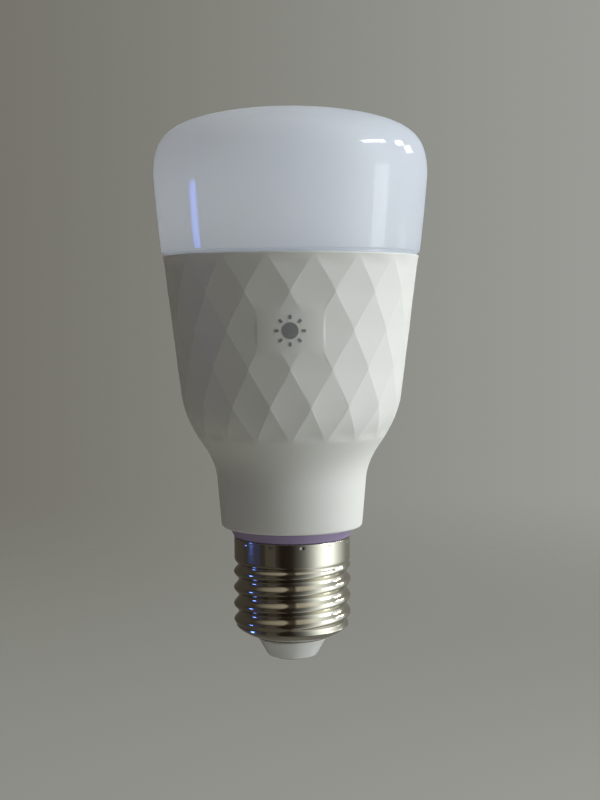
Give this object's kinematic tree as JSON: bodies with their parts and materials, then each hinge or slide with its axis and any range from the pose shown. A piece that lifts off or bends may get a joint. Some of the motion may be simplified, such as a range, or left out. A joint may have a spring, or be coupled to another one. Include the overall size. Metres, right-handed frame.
{
  "type": "smart light bulb",
  "caption": "Smart light bulb with an opal dome, a diamond-faceted white housing, a lilac collar and an E27 screw cap.",
  "frame": {"origin": "middle of the centre contact's flat end, the bulb's lowest point", "axes": "+Z along the bulb's axis from the cap to the dome, -Y towards the printed mark, +X to its right"},
  "size_m": [0.06, 0.06, 0.1214],
  "materials": {
    "opal_dome": "glossy opal, light-spreading",
    "housing_white": "fine matte moulding",
    "collar_lilac": "satin lilac",
    "cap_nickel": "bright nickel plate, warm grey",
    "insulator_white": "white, half gloss",
    "mark_ink": "grey printed ink",
    "cup_aluminium": "pressed, satin",
    "thermal_paste": "grey heat-conducting pad",
    "lamp_board_white": "white solder mask on an aluminium core",
    "board_green": "green solder mask",
    "moulded_black": "black moulded body",
    "ferrite": "sintered dark grey",
    "lamp_phosphor": "yellow phosphor gel",
    "lamp_clear": "clear gel in a white body",
    "silicone": "white silicone",
    "screw_steel": "zinc-plated steel",
    "sleeve_white": "natural white moulding",
    "can_dark": "dark shrink sleeve",
    "yellow_tape": "yellow tape and dipped disc",
    "film_orange": "dipped orange-brown",
    "resistor_green": "green ceramic coat",
    "wire_red": "red insulation",
    "wire_black": "black insulation"
  },
  "bodies": {
    "root": {"diffuser": "opal_dome", "diffuser_sealant": "silicone", "housing": "housing_white", "printed_mark": "mark_ink", "heat_sink_cup": "cup_aluminium", "thermal_pad": "thermal_paste", "lamp_board": "lamp_board_white", "white_led_1": "lamp_phosphor", "white_led_2": "lamp_phosphor", "white_led_3": "lamp_phosphor", "white_led_4": "lamp_phosphor", "white_led_5": "lamp_phosphor", "white_led_6": "lamp_phosphor", "white_led_7": "lamp_phosphor", "white_led_8": "lamp_phosphor", "white_led_9": "lamp_phosphor", "white_led_10": "lamp_phosphor", "colour_led_1": "lamp_clear", "colour_led_2": "lamp_clear", "colour_led_3": "lamp_clear", "colour_led_4": "lamp_clear", "colour_led_5": "lamp_clear", "board_screw_1": "screw_steel", "board_screw_2": "screw_steel", "board_screw_3": "screw_steel", "driver_sleeve": "sleeve_white", "driver_board": "board_green", "input_capacitor": "can_dark", "output_capacitor": "can_dark", "filter_inductor": "ferrite", "transformer_core": "ferrite", "transformer_winding": "yellow_tape", "film_capacitor": "film_orange", "bridge_rectifier": "moulded_black", "fuse_resistor": "resistor_green", "surge_varistor": "yellow_tape", "driver_chip": "moulded_black", "switch_transistor": "moulded_black", "wireless_board": "board_green", "wireless_shield": "screw_steel", "module_header": "moulded_black", "live_lead": "wire_red", "neutral_lead": "wire_black", "neck_collar": "collar_lilac", "screw_shell": "cap_nickel", "cap_insulator": "insulator_white", "centre_contact": "cap_nickel"}
  },
  "joints": []
}
